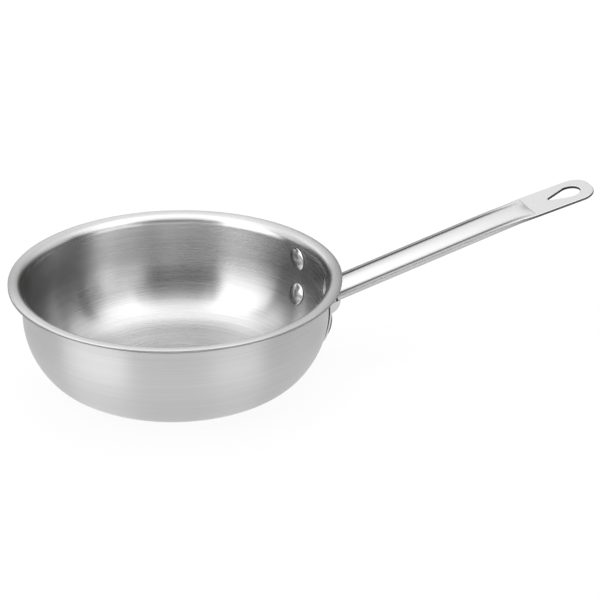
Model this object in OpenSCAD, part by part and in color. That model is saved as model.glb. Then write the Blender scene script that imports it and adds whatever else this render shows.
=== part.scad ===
// Saucier pan: a clad round-sided bowl with a flared pouring lip, a riveted
// bracket and a pressed sheet handle that ends in a flat with a hanging hole.
//
// Frame: the origin is the centre of the base's underside, on the bowl's axis.
// +Z is up and the handle points along +X. The pan is symmetric about the XZ plane.

/* [Bowl] */
// Outer diameter of the lip
rim_d = 220; // [200:1:240]
// Height of the lip above the table
rim_h = 71; // [66:1:85]
// Diameter of the flat of the base
base_d = 124; // [112:1:136]
// Height above which the side stands upright
upright_h = 47.8; // [44:0.1:52]
// Angle that the lower curve turns through before the fuller side curve takes over
corner_turn = 52; // [44:1:58]
// How far the lip stands out from the upright wall
lip_reach = 8.6; // [7.5:0.1:11]
// Radius of the lip's bend, on its outside
lip_bend_r = 3.8; // [3:0.1:5]
// Angle that the lip's bend turns through: at 90 the lip ends level
lip_turn = 84; // [75:1:90]

/* [Cladding] */
// Thickness of the steel layer inside the bowl
inner_steel_t = 0.5; // [0.3:0.1:0.8]
// Thickness of the aluminium between the steel layers
core_t = 1.2; // [0.8:0.1:2]
// Thickness of the steel layer outside the bowl
outer_steel_t = 0.5; // [0.3:0.1:0.8]

/* [Bracket] */
// Thickness of the bracket's sheet
plate_t = 2; // [1.5:0.1:2.5]
// Width of the bracket's plate, across both wings
plate_w = 77; // [72:1:84]
// Height of the plate's lower edge above the table
plate_foot = 22; // [19:0.5:23]
// Depth of the plate's upper edge below the start of the lip's bend
plate_drop = 0.5; // [0.3:0.1:1.5]
// Radius of the plate's corners
plate_corner_r = 9; // [5:0.5:12]
// Radius of the hood's rounded chin, seen from the side
chin_r = 9.2; // [8:0.1:10]
// How far the hood stands out from the bowl's upright wall
hood_reach = 10.4; // [9:0.1:12]

/* [Handle] */
// Thickness of the handle's sheet
sheet_t = 2; // [1.5:0.1:2.3]
// Width of the grip
grip_w = 28.4; // [26:0.2:30]
// Depth of the grip, from its lower edges to the tops of the beads along its sides
grip_depth = 3.7; // [3.5:0.1:5]
// Radius of the beads
bead_r = 1.8; // [1.4:0.1:2.2]
// How far the panel lies below the tops of the beads beside it
panel_drop = 0.75; // [0.4:0.05:0.9]
// Height of the grip's underside above the table, below the lip's edge
root_h = 41.5; // [40:0.5:44]
// Slope of the grip, in degrees
grip_rise = 15.4; // [12:0.1:18]
// Length of the grip from the lip's edge to the crease before the flat
grip_len = 150; // [130:1:180]
// Length over which the panel runs down to the crease
ramp_len = 12; // [10:1:20]
// Length over which the grip widens to the flat
flare_len = 12; // [8:1:20]
// Length of the flat beyond the crease
flat_len = 48; // [44:1:60]
// Width of the flat
flat_w = 30.8; // [30.2:0.2:34]
// Slope of the flat, in degrees
flat_rise = 12.5; // [8:0.1:18]
// Radius of the flat's two outer corners
tip_corner_r = 12; // [8:0.5:14]

/* [Hanging hole] */
// Width of the hole at its round end
hole_w = 15.4; // [12:0.2:17]
// Length of the hole
hole_len = 24; // [20:0.5:28]
// Radius of the hole's narrow end
hole_tip_r = 2.4; // [1.5:0.1:3]
// Metal left between the hole and the end of the handle
hole_margin = 8; // [6:0.5:12]

/* [Rivets] */
// Diameter of a rivet's shank
shank_d = 5; // [4:0.1:6]
// Clearance round a shank in its holes
rivet_fit = 0.05; // [0.02:0.01:0.1]
// Diameter of the domed heads inside the bowl
dome_d = 16; // [13:0.5:16]
// Height of the domed heads
dome_h = 1.8; // [1.4:0.1:2.4]
// Height of the straight edge round a domed head
dome_edge = 0.6; // [0.4:0.1:0.9]
// Diameter of the set heads outside, on the bracket
set_d = 14; // [11:0.5:14]
// Height of the set heads
set_h = 1.7; // [1.2:0.1:2.2]
// Depth of the upper pair of rivets below the lip
upper_rivet_drop = 14; // [14:0.5:15]
// Distance between the two upper rivets
upper_pitch = 55; // [52:1:58]
// Height of the lower pair of rivets
lower_rivet_h = 31.5; // [31:0.5:33]
// Distance between the two lower rivets
lower_pitch = 49; // [48:1:56]

/* [Hidden] */
$fn = 96;
rim_r = rim_d / 2;
base_r = base_d / 2;
wall_t = inner_steel_t + core_t + outer_steel_t;
wall_r = rim_r - lip_reach;

// Two tangent arcs lead from the base to the upright wall: the lower one ends at
// turn_z, and the two radii follow from the run between them and the height.
side_run = wall_r - base_r;
turn_sin = sin(corner_turn);
turn_cos = cos(corner_turn);
turn_sum = turn_sin + turn_cos - 1;
corner_r = (side_run * turn_cos - upright_h * (1 - turn_sin)) / turn_sum;
side_r = (upright_h * turn_sin - side_run * (1 - turn_cos)) / turn_sum;
turn_z = corner_r * (1 - turn_cos);
side_x = wall_r - side_r;

// The lip's bend is centred outside the wall, and its straight end rises to rim_h at rim_r.
bend_x = wall_r + lip_bend_r;
bend_r = lip_bend_r + wall_t;
lip_slope = 90 - lip_turn;
bend_z = rim_h - lip_climb(wall_t);
plate_head = bend_z - plate_drop;
upper_rivet_h = rim_h - upper_rivet_drop;

// Angle between the points of a round stretch in the bowl's section.
arc_step = 4;

// What meets the bowl starts this deep inside the wall and is cut off at its surface.
root_lap = 4;

// The chin's curve ends just under the grip at the hood's front.
hood_front = wall_r + hood_reach;
chin_x = hood_front - chin_r;
chin_z = grip_under(hood_front) - plate_t / 2;
hood_back = wall_r - chin_r;
hood_in_w = grip_w - 2 * plate_t;

// Height of the panel between the beads.
panel_top = grip_depth - panel_drop;

// The grip runs in to the wall, and its ramp ends just before the crease.
grip_start = -lip_reach - root_lap;
crease_lap = 1;
ramp_end = grip_len - crease_lap;

// Angle that the sheet turns down through at the crease.
crease_turn = grip_rise - flat_rise;

// The hole's round end is centred at hole_x along the flat, hole_span from its narrow end.
hole_r = hole_w / 2;
hole_x = flat_len - hole_margin - hole_r;
hole_span = hole_len - hole_r - hole_tip_r;

steel = [0.78, 0.78, 0.77];
polished_steel = [0.88, 0.88, 0.88];
bare_aluminium = [0.66, 0.67, 0.69];

// Angle of the wall's outer surface at height z: 90 is upright.
function wall_turn(z) =
    z >= upright_h ? 90
    : z >= turn_z ? acos((upright_h - z) / side_r)
    : acos((corner_r - z) / corner_r);

// Radius of the wall's outer surface at height z, up to the lip's bend.
function wall_radius(z) =
    z >= upright_h ? wall_r
    : z >= turn_z ? side_x + side_r * sin(wall_turn(z))
    : base_r + corner_r * sin(wall_turn(z));

// Climb from the bend's centre to the lip's edge, at a depth below the outer surface.
function lip_climb(t) =
    (lip_bend_r + t) / cos(lip_slope) + (rim_r - bend_x) * tan(lip_slope);

// Points along an arc, both ends included.
function arc(centre, r, from, to) =
    let (steps = ceil(abs(to - from) / arc_step))
    [for (i = [0:steps])
        let (a = from + (to - from) * i / steps)
        centre + r * [cos(a), sin(a)]];

function reversed(points) = [for (i = [len(points) - 1:-1:0]) points[i]];

// Section of the bowl at a depth below its outer surface: the base and the side.
function side_points(t) = concat(
    [[0, t]],
    arc([base_r, corner_r], corner_r - t, -90, corner_turn - 90),
    arc([side_x, upright_h], side_r - t, corner_turn - 90 + arc_step, 0)
);

// The same section of the lip: a bend and a straight end that rises a little.
function lip_points(t) = concat(
    arc([bend_x, bend_z], lip_bend_r + t, 180, 180 - lip_turn),
    [[rim_r, bend_z + lip_climb(t)]]
);

// Height of the grip's underside at distance x from the bowl's axis.
function grip_under(x) = root_h + (x - rim_r) * tan(grip_rise);

// Rounded rectangle centred on the origin, made of plain squares and circles.
module rounded_rect(w, h, r) {
    square([w - 2 * r, h], center = true);
    square([w, h - 2 * r], center = true);
    for (x = [-1, 1], y = [-1, 1])
        translate([x * (w / 2 - r), y * (h / 2 - r)])
            circle(r);
}

// One layer of the side from the base up to the lip's bend, turned about the axis.
module side_layer(t0, t1) {
    rotate_extrude()
        polygon(concat(
            side_points(t0),
            [[wall_r - t0, bend_z], [wall_r - t1, bend_z]],
            reversed(side_points(t1))
        ));
}

// Everything inside the side at a depth below its outer surface, up past the lip.
module inside_solid(t) {
    top = rim_h + bend_r;
    rotate_extrude()
        polygon(concat(side_points(t), [[wall_r - t, top], [0, top]]));
}

// Sets its children on the wall's outer surface at height z, with their +Z
// along the outward normal and their middle a given distance off the XZ plane.
module on_wall(z, offset) {
    r = wall_radius(z);
    rotate(asin(offset / r))
        translate([r, 0, z])
            rotate([0, 180 - wall_turn(z), 0])
                children();
}

// Everything that the four shanks pass through is bored with this.
module rivet_bores() {
    bore_len = 4 * (wall_t + plate_t);
    for (side = [-1, 1]) {
        on_wall(upper_rivet_h, side * upper_pitch / 2)
            cylinder(h = bore_len, d = shank_d + 2 * rivet_fit, center = true);
        on_wall(lower_rivet_h, side * lower_pitch / 2)
            cylinder(h = bore_len, d = shank_d + 2 * rivet_fit, center = true);
    }
}

// One layer of the bowl, bored for the rivets.
module bowl_layer(t0, t1) {
    difference() {
        rotate_extrude()
            polygon(concat(
                side_points(t0),
                lip_points(t0),
                reversed(lip_points(t1)),
                reversed(side_points(t1))
            ));
        rivet_bores();
    }
}

module inner_skin() {
    color(steel)
        bowl_layer(outer_steel_t + core_t, wall_t);
}

module aluminium_core() {
    color(bare_aluminium)
        bowl_layer(outer_steel_t, outer_steel_t + core_t);
}

module outer_skin() {
    color(steel)
        bowl_layer(0, outer_steel_t);
}

// Side view of the hood, with a rounded chin below and open ended above.
module hood_side(inset) {
    front = hood_front - inset;
    translate([chin_x, chin_z])
        circle(chin_r - inset);
    translate([hood_back, chin_z])
        square([front - hood_back, chin_r]);
    translate([hood_back, chin_z - chin_r + inset])
        square([chin_x - hood_back, chin_r]);
}

// Everything below the grip's underside, seen from the side.
module under_grip() {
    polygon([
        [hood_back, 0],
        [rim_d, 0],
        [rim_d, grip_under(rim_d)],
        [hood_back, grip_under(hood_back)]
    ]);
}

// The hood: a shell with its two sides and its chin up against the grip.
module hood() {
    difference() {
        rotate([90, 0, 0])
            linear_extrude(height = grip_w, center = true)
                intersection() {
                    hood_side(0);
                    under_grip();
                }
        rotate([90, 0, 0])
            linear_extrude(height = hood_in_w, center = true)
                hood_side(plate_t);
        inside_solid(-plate_t / 2);
    }
}

// Bracket: a plate that follows the wall, and the hood that stands out from it.
module handle_bracket() {
    plate_h = plate_head - plate_foot;
    color(steel)
        difference() {
            union() {
                intersection() {
                    side_layer(-plate_t, 0);
                    translate([0, 0, (plate_head + plate_foot) / 2])
                        rotate([90, 0, 90])
                            linear_extrude(height = rim_r)
                                rounded_rect(plate_w, plate_h, plate_corner_r);
                }
                hood();
            }
            rivet_bores();
        }
}

// Outside of the grip's section, its lower edges on the X axis: a panel between
// two round beads.
module grip_section() {
    bead_x = grip_w / 2 - bead_r;
    bead_z = grip_depth - bead_r;
    translate([-bead_x, 0])
        square([2 * bead_x, panel_top]);
    translate([-grip_w / 2, 0])
        square([grip_w, bead_z]);
    for (side = [-1, 1])
        translate([side * bead_x, bead_z])
            circle(bead_r);
}

// The hollow under the panel, open below.
module hollow_section() {
    half = grip_w / 2 - sheet_t;
    translate([-half, -grip_depth])
        square([2 * half, grip_depth + panel_top - sheet_t]);
}

// Runs a section along the grip and cuts it off on the ramp's slope, which comes
// down to a given height at the end of the ramp.
module along_grip(end_z) {
    ramp = atan((panel_top - sheet_t) / ramp_len);
    difference() {
        translate([grip_start, 0, 0])
            rotate([90, 0, 90])
                linear_extrude(height = ramp_end + crease_lap / 2 - grip_start)
                    children();
        translate([ramp_end, 0, end_z])
            rotate([0, ramp, 0])
                translate([-grip_len, -grip_w, 0])
                    cube([2 * grip_len, 2 * grip_w, 2 * grip_depth]);
    }
}

// Side view of the sheet from the flare on, bent down at the crease and run
// past its end, which the plan cuts off.
module bent_side() {
    run = flat_len + flare_len;
    far = [grip_len + run * cos(crease_turn), -run * sin(crease_turn)];
    polygon([
        [grip_len - flare_len, 0],
        [grip_len, 0],
        far,
        far + sheet_t * [sin(crease_turn), cos(crease_turn)],
        [grip_len + sheet_t * tan(crease_turn / 2), sheet_t],
        [grip_len - flare_len, sheet_t]
    ]);
}

// Plan of the same sheet: the flare, then the flat with its rounded end.
module bent_plan() {
    middle = grip_len + flat_len / 2;
    polygon([
        [grip_len - flare_len, -grip_w / 2],
        [grip_len, -flat_w / 2],
        [middle, -flat_w / 2],
        [middle, flat_w / 2],
        [grip_len, flat_w / 2],
        [grip_len - flare_len, grip_w / 2]
    ]);
    translate([middle, 0])
        rounded_rect(flat_len, flat_w, tip_corner_r);
}

// The flare and the flat as one bent sheet.
module bent_sheet() {
    intersection() {
        rotate([90, 0, 0])
            linear_extrude(height = 2 * flat_w, center = true)
                bent_side();
        linear_extrude(height = 2 * flat_len, center = true)
            bent_plan();
    }
}

// Teardrop: a large circle and a small one with the two tangents between them.
module teardrop_plan() {
    lean = acos((hole_r - hole_tip_r) / hole_span);
    circle(hole_r);
    translate([-hole_span, 0])
        circle(hole_tip_r);
    polygon([
        hole_r * [-cos(lean), sin(lean)],
        [-hole_span, 0] + hole_tip_r * [-cos(lean), sin(lean)],
        [-hole_span, 0] + hole_tip_r * [-cos(lean), -sin(lean)],
        hole_r * [-cos(lean), -sin(lean)]
    ]);
}

// The hanging hole's cutter, square to the flat.
module hole_cutter() {
    translate([grip_len, 0, 0])
        rotate([0, crease_turn, 0])
            translate([hole_x, 0, 0])
                linear_extrude(height = 4 * sheet_t, center = true)
                    teardrop_plan();
}

// One pressed sheet: a panel with beads along its sides that runs down to a crease
// and on into the flat end.
module handle() {
    color(steel)
        difference() {
            translate([rim_r, 0, root_h])
                rotate([0, -grip_rise, 0])
                    difference() {
                        union() {
                            along_grip(sheet_t)
                                grip_section();
                            bent_sheet();
                        }
                        along_grip(0)
                            hollow_section();
                        hole_cutter();
                    }
            inside_solid(-plate_t);
        }
}

// Shank of a rivet, standing on the wall's outer surface.
module shank() {
    translate([0, 0, -wall_t - dome_h / 2])
        cylinder(h = wall_t + plate_t + (dome_h + set_h) / 2, d = shank_d);
}

// Domed head inside the bowl, reaching into the wall, where it is cut off.
module domed_head() {
    dome_a = dome_d / 2;
    dome_rise = dome_h - dome_edge;
    dome_r = (dome_a * dome_a + dome_rise * dome_rise) / (2 * dome_rise);
    intersection() {
        translate([0, 0, -wall_t - dome_h])
            cylinder(h = dome_h + wall_t / 2, d = dome_d);
        translate([0, 0, -wall_t - dome_h + dome_r])
            sphere(dome_r);
    }
}

// A rivet in its place, its heads shaped underneath to the wall and the plate.
module rivet(z, offset) {
    color(polished_steel)
        union() {
            intersection() {
                on_wall(z, offset)
                    domed_head();
                inside_solid(wall_t);
            }
            difference() {
                on_wall(z, offset)
                    cylinder(h = plate_t + set_h, d = set_d);
                inside_solid(-plate_t);
            }
            on_wall(z, offset)
                shank();
        }
}

module rivet_upper_left() {
    rivet(upper_rivet_h, upper_pitch / 2);
}

module rivet_upper_right() {
    rivet(upper_rivet_h, -upper_pitch / 2);
}

module rivet_lower_left() {
    rivet(lower_rivet_h, lower_pitch / 2);
}

module rivet_lower_right() {
    rivet(lower_rivet_h, -lower_pitch / 2);
}

inner_skin();
aluminium_core();
outer_skin();
handle_bracket();
handle();
rivet_upper_left();
rivet_upper_right();
rivet_lower_left();
rivet_lower_right();
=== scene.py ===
# %% [markdown]
# # A clad saucier pan in Blender
# The pan is nine pieces: three sheets of metal bonded into one bowl, a pressed
# bracket, a pressed handle and four rivets. They could be drawn anywhere and moved
# into place afterwards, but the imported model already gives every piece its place.
# So each piece is made straight in the pan's own frame: the origin is the middle of
# the base, +Z is up and the handle points along +X. Sizes are written in
# millimetres, and MM turns them into metres.

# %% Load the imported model
import math

import bmesh
import bpy
from mathutils import Matrix, Vector


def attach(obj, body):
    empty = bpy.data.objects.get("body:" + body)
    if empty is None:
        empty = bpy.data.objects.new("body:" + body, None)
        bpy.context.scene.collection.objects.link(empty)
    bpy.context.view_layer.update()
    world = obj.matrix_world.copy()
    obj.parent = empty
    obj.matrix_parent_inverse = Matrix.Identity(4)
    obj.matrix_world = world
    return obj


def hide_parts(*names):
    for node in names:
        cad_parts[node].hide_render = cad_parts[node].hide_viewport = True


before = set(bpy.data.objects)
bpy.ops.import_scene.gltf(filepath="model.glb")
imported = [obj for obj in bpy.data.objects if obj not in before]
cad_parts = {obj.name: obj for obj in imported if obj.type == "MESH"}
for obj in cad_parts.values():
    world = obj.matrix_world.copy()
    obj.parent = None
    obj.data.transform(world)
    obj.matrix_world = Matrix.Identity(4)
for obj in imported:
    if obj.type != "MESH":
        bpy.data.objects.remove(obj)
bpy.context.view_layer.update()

MM = 0.001
print("pieces in the packed model:", ", ".join(sorted(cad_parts)))

# %% [markdown]
# ## The camera
# The photograph was taken with a long lens from a little above the rim. A short
# lens from nearby could frame the pan as well, but it would make the near side of
# the lip much larger than the far side, and the photograph shows them almost alike.

# %% Set up the camera
CAMERA_TURN = -20
camera_data = bpy.data.cameras.new("camera")
camera_data.lens = 144
camera_data.sensor_width = 36
camera_data.clip_end = 60
camera = bpy.data.objects.new("camera", camera_data)
camera.location = (-0.4135, -1.3762, 0.7370)
camera.rotation_euler = (math.radians(64.53), 0, math.radians(CAMERA_TURN))
bpy.context.scene.collection.objects.link(camera)
bpy.context.scene.camera = camera
bpy.context.scene.view_settings.view_transform = "Standard"
print("camera stands", round(camera.location.length, 3), "m from the base")

# %% [markdown]
# ## The studio
# Steel shows its surroundings more than its own colour. A studio for cookware is a
# pale room with large soft boxes and gaps between them: the boxes draw the bright
# bands on the bowl and the gaps draw the dark ones. Real lamps could stand in the
# scene, but each adds noise and a hard edge. Painting the room into the world by
# direction gives soft edges without noise. The camera itself sees plain white.

# %% Helpers for node trees
def add_node(tree, kind, inputs=None, **settings):
    """Adds a node, sets its properties, then sets or links its inputs."""
    node = tree.nodes.new(kind)
    for name, value in settings.items():
        setattr(node, name, value)
    for key, value in (inputs or {}).items():
        if isinstance(value, bpy.types.NodeSocket):
            tree.links.new(value, node.inputs[key])
        else:
            node.inputs[key].default_value = value
    return node


def maths(tree, operation, a, b=0.0, clamp=False):
    """A Math node on two sockets or numbers."""
    return add_node(tree, "ShaderNodeMath", {0: a, 1: b},
                    operation=operation, use_clamp=clamp).outputs[0]


def smooth_step(tree, value, low, high):
    """0 below low and 1 above high, with a soft change between them."""
    return add_node(tree, "ShaderNodeMapRange", {0: value, 1: low, 2: high},
                    interpolation_type="SMOOTHSTEP").outputs[0]


def spun(tree, vector, degrees):
    """A direction turned about +Z."""
    return add_node(tree, "ShaderNodeVectorRotate",
                    {"Vector": vector, "Angle": math.radians(degrees)},
                    rotation_type="Z_AXIS").outputs[0]


# %% Where the boxes and the boards stand
# Azimuth 0 is to the camera's right and 90 is straight away from it. Each box has
# its middle azimuth, half width and soft edge, then its lowest and highest
# elevation and soft edge, all in degrees, and its brightness. Each flag is a dark
# board in front of the boxes; its last number is the share of light it takes away.
ROOM_TINT = (0.03, 0.022, 0.016)
BOXES = [
    ("over box", (0, 200, 1), (46, 99, 10), 1.75),
    ("left box", (209, 24, 5), (-9, 99, 4), 2.3),
    ("left low box", (217, 22, 6), (-9, 19, 5), 3.2),
    ("front strip", (275, 55, 8), (-9, 9, 4), 2.75),
    ("right low box", (315, 22, 6), (-9, 23, 5), 1.85),
    ("right box", (336, 24, 6), (38, 99, 8), 2.4),
    ("handle box", (110, 8, 4), (26, 46, 5), 2.2),
    ("back box", (96, 8, 4), (11, 50, 8), 1.2),
    ("back left box", (165, 16, 5), (23, 50, 4), 1.3),
    ("side box", (21, 13, 6), (25, 60, 4), 1.05),
    ("top box", (86, 44, 15), (49, 99, 10), 2.3),
    ("back wall", (87, 58, 10), (30, 60, 10), 1.2),
]
FLAGS = [
    ("front flag", (272, 27, 6), (14, 54, 4), 0.9),
    ("back flag", (127, 11, 6), (-5, 30, 5), 0.8),
    ("right flag", (351, 11, 6), (-5, 30, 8), 0.8),
]
print("studio boxes:", ", ".join(box[0] for box in BOXES))

# %% A patch of the room
world = bpy.data.worlds.new("studio")
bpy.context.scene.world = world
world.use_nodes = True
room = world.node_tree
room.nodes.clear()
IN_DEGREES = 180 / math.pi
heading = spun(room, add_node(room, "ShaderNodeTexCoord").outputs["Generated"],
               -CAMERA_TURN)
upward = add_node(room, "ShaderNodeSeparateXYZ", {0: heading}).outputs[2]
elevation = maths(room, "MULTIPLY", maths(room, "ARCSINE", upward), IN_DEGREES)


def patch(sideways, upwards):
    """1 inside a patch of the room and 0 outside it, with soft edges."""
    middle, half, soft = sideways
    local = add_node(room, "ShaderNodeSeparateXYZ", {0: spun(room, heading, -middle)})
    turn = maths(room, "ARCTAN2", local.outputs[1], local.outputs[0])
    away = maths(room, "MULTIPLY", maths(room, "ABSOLUTE", turn), IN_DEGREES)
    across = maths(room, "SUBTRACT", 1.0,
                   smooth_step(room, away, half - soft, half + soft))
    low, high, soft = upwards
    above = smooth_step(room, elevation, low - soft, low + soft)
    below = maths(room, "SUBTRACT", 1.0,
                  smooth_step(room, elevation, high - soft, high + soft))
    return maths(room, "MULTIPLY", across, maths(room, "MULTIPLY", above, below))


print("nodes before the boxes:", len(room.nodes))

# %% Paint the room
light_level = 0.0
for name, sideways, upwards, level in BOXES:
    glow = maths(room, "MULTIPLY", patch(sideways, upwards), level)
    light_level = maths(room, "MAXIMUM", glow, light_level)
open_share = 1.0
for name, sideways, upwards, taken in FLAGS:
    shade = maths(room, "MULTIPLY", patch(sideways, upwards), taken)
    open_share = maths(room, "MULTIPLY", maths(room, "SUBTRACT", 1.0, shade), open_share)

lamps = add_node(room, "ShaderNodeCombineXYZ", {axis: light_level for axis in range(3)})
walls = add_node(room, "ShaderNodeVectorMath", {0: lamps.outputs[0], 1: ROOM_TINT},
                 operation="MAXIMUM")
lit = add_node(room, "ShaderNodeBackground",
               {"Color": walls.outputs[0], "Strength": open_share})
seen = add_node(room, "ShaderNodeBackground", {"Color": (1, 1, 1, 1)})
path = add_node(room, "ShaderNodeLightPath")
pick = add_node(room, "ShaderNodeMixShader", {
    0: path.outputs["Is Camera Ray"], 1: lit.outputs[0], 2: seen.outputs[0]})
add_node(room, "ShaderNodeOutputWorld", {"Surface": pick.outputs[0]})
print("nodes in the studio:", len(room.nodes))

# %% [markdown]
# ## The floor
# The pan stands on a white sweep of paper. A white diffuse floor alone would come
# out grey where less light falls on it, and its edge would show. Here most of what
# the camera sees of it glows evenly, and the small diffuse share that is left
# keeps the pan's soft shadow. Steel sees it almost as bright.

# %% Lay the floor
def add_object(name, data):
    """Makes an object and links it to the scene."""
    item = bpy.data.objects.new(name, data)
    bpy.context.scene.collection.objects.link(item)
    return item


# The floor lies a hair below the base, so that the two faces don't share a place.
FLOOR_HALF, FLOOR_DROP = 12.0, 0.00024
corners = [(x * FLOOR_HALF, y * FLOOR_HALF, -FLOOR_DROP)
           for x, y in ((-1, -1), (1, -1), (1, 1), (-1, 1))]
floor_mesh = bpy.data.meshes.new("floor")
floor_mesh.from_pydata(corners, [], [(0, 1, 2, 3)])
add_object("floor", floor_mesh)
print("floor is", 2 * FLOOR_HALF, "m wide")

# %% White paper
SEEN_GLOW, MIRRORED_GLOW = 0.93, 0.85
paper = bpy.data.materials.new("white_paper")
paper.use_nodes = True
tree = paper.node_tree
tree.nodes.clear()
path = add_node(tree, "ShaderNodeLightPath")
matt = add_node(tree, "ShaderNodeBsdfDiffuse", {"Color": (0.88, 0.88, 0.88, 1)})
glow = add_node(tree, "ShaderNodeEmission", {"Strength": 1.0})
glow_share = maths(
    tree, "ADD",
    maths(tree, "MULTIPLY", path.outputs["Is Camera Ray"], SEEN_GLOW),
    maths(tree, "MULTIPLY", path.outputs["Is Glossy Ray"], MIRRORED_GLOW))
blend = add_node(tree, "ShaderNodeMixShader",
                 {0: glow_share, 1: matt.outputs[0], 2: glow.outputs[0]})
add_node(tree, "ShaderNodeOutputMaterial", {"Surface": blend.outputs[0]})
floor_mesh.materials.append(paper)
print("paper glows", SEEN_GLOW, "to the camera and", MIRRORED_GLOW, "in the steel")

# %% [markdown]
# ## The key light
# The painted room gives the floor very little direction, so one real lamp stands
# high behind the pan and draws its shadow towards the camera. Steel would show it
# as one more box, so it is hidden from reflections.

# %% Hang the key light
KEY_AIM = Vector((0.1, 0, 0))
key_data = bpy.data.lights.new("key", "AREA")
key_data.shape = "RECTANGLE"
key_data.size = 2.4
key_data.size_y = 1.6
key_data.energy = 26
key = add_object("key", key_data)
key.location = (0.6, 1.6, 2.6)
key.rotation_euler = (KEY_AIM - key.location).to_track_quat("-Z", "Y").to_euler()
key.visible_glossy = False
print("key light hangs", key.location.z, "m above the floor")

# %% [markdown]
# ## The finishes
# Every steel part is satin brushed. Brushing leaves fine scratches, and light
# spreads across them much more than along them. An image of brushed steel would
# need seams on a round bowl. A noise stretched along the scratches needs none: it
# changes the tone, the roughness and the height a little. The value called dull
# comes from the piece's own points: 0 is polished and 1 is a rough line whose
# colour is darkened as painted shade, such as an edge, a fillet, a groove, a rim
# or a gap. The roughness stands for where the polishing wheel doesn't reach; the
# darkening is painted shade.

# %% Helpers for shader groups
def new_group(name, inputs, outputs):
    """Makes a shader group; inputs are label: (kind, value), outputs label: kind."""
    group = bpy.data.node_groups.new(name, "ShaderNodeTree")
    for label, (kind, value) in inputs.items():
        socket = group.interface.new_socket(label, in_out="INPUT",
                                            socket_type="NodeSocket" + kind)
        socket.default_value = value
    for label, kind in outputs.items():
        group.interface.new_socket(label, in_out="OUTPUT",
                                   socket_type="NodeSocket" + kind)
    return (group, add_node(group, "NodeGroupInput").outputs,
            add_node(group, "NodeGroupOutput"))


def stretched(tree, vector, factors):
    """A vector times three factors, each axis on its own."""
    return add_node(tree, "ShaderNodeVectorMath", {0: vector, 1: factors},
                    operation="MULTIPLY").outputs[0]


def noise(tree, vector, detail, roughness):
    """Noise about 0.5, whose grain is one unit of the vector."""
    return add_node(tree, "ShaderNodeTexNoise",
                    {"Vector": vector, "Scale": 1.0, "Detail": detail,
                     "Roughness": roughness}, noise_dimensions="3D").outputs["Fac"]


# %% Node group: brushed grain
# Stroke and Fineness are how fast the pattern changes along and across the strokes.
# The second number darkens the colour of dull lines as painted shade; the third adds
# roughness to them.
FINE_SHARE, SHADE_DARKENING, DULL_ROUGH = 0.4, 0.82, 0.8
grain, given, end = new_group(
    "brushed_grain",
    {"Lay": ("Vector", (0, 0, 0)), "Stroke": ("Float", 3.0),
     "Fineness": ("Float", 2600.0), "Rough": ("Float", 0.3),
     "Rough Change": ("Float", 0.1), "Steel": ("Color", (0.6, 0.6, 0.6, 1)),
     "Tone Change": ("Float", 0.06), "Dull And Shade": ("Float", 0.0)},
    {"Colour": "Color", "Roughness": "Float", "Height": "Float"})
scale = add_node(grain, "ShaderNodeCombineXYZ",
                 {0: given["Stroke"], 1: given["Stroke"], 2: given["Fineness"]})
lay = stretched(grain, given["Lay"], scale.outputs[0])
fine = noise(grain, lay, 3.0, 0.6)
bands = noise(grain, stretched(grain, lay, (0.6, 0.6, 0.45)), 3.0, 0.5)
cloud = noise(grain, stretched(grain, lay, (0.5, 0.5, 0.004)), 2.0, 0.5)
height = maths(grain, "ADD", maths(grain, "MULTIPLY", fine, FINE_SHARE),
               maths(grain, "MULTIPLY", bands, 1 - FINE_SHARE))
swing = maths(grain, "SUBTRACT", height, 0.5)
both_swings = maths(grain, "ADD", swing, maths(grain, "SUBTRACT", cloud, 0.5))
rough = maths(grain, "ADD", given["Rough"],
              maths(grain, "MULTIPLY", both_swings, given["Rough Change"]))
rough = maths(grain, "ADD", rough,
              maths(grain, "MULTIPLY", given["Dull And Shade"], DULL_ROUGH), clamp=True)
tone = maths(grain, "ADD", 1.0, maths(grain, "MULTIPLY", swing, given["Tone Change"]))
# The dull value darkens the colour here: this darkening is painted shade.
unshaded_share = maths(grain, "SUBTRACT", 1.0, maths(grain, "MULTIPLY", given["Dull And Shade"], SHADE_DARKENING))
tint = add_node(grain, "ShaderNodeVectorMath",
                {0: given["Steel"], "Scale": maths(grain, "MULTIPLY", tone, unshaded_share)},
                operation="SCALE")
for label, source in (("Colour", tint.outputs[0]), ("Roughness", rough),
                      ("Height", height)):
    grain.links.new(source, end.inputs[label])
print("nodes in the grain group:", len(grain.nodes))

# %% [markdown]
# ## Which way the scratches run
# The bowl is brushed while it turns, so its scratches are rings round the axis. The
# handle is brushed lengthwise. The bowl could get a UV map for that, but its rings
# follow from the position: the direction from the axis changes slowly along a
# scratch, and the distance plus the height changes fast from ring to ring.

# %% Node group: coordinates for a turned piece
turned_lay, given, end = new_group(
    "turned_lay", {"Position": ("Vector", (0, 0, 0))}, {"Lay": "Vector"})
x, y, z = add_node(turned_lay, "ShaderNodeSeparateXYZ", {0: given[0]}).outputs
square = maths(turned_lay, "ADD", maths(turned_lay, "MULTIPLY", x, x),
               maths(turned_lay, "MULTIPLY", y, y))
radius = maths(turned_lay, "ADD", maths(turned_lay, "SQRT", square), 1e-5)
join = add_node(turned_lay, "ShaderNodeCombineXYZ", {
    0: maths(turned_lay, "DIVIDE", x, radius), 1: maths(turned_lay, "DIVIDE", y, radius),
    2: maths(turned_lay, "ADD", radius, z)})
turned_lay.links.new(join.outputs[0], end.inputs[0])
print("nodes in the turned group:", len(turned_lay.nodes))

# %% A brushed metal
LENGTHWISE, QUARTER_TURN = (math.radians(90), 0, 0), 0.25


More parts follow.
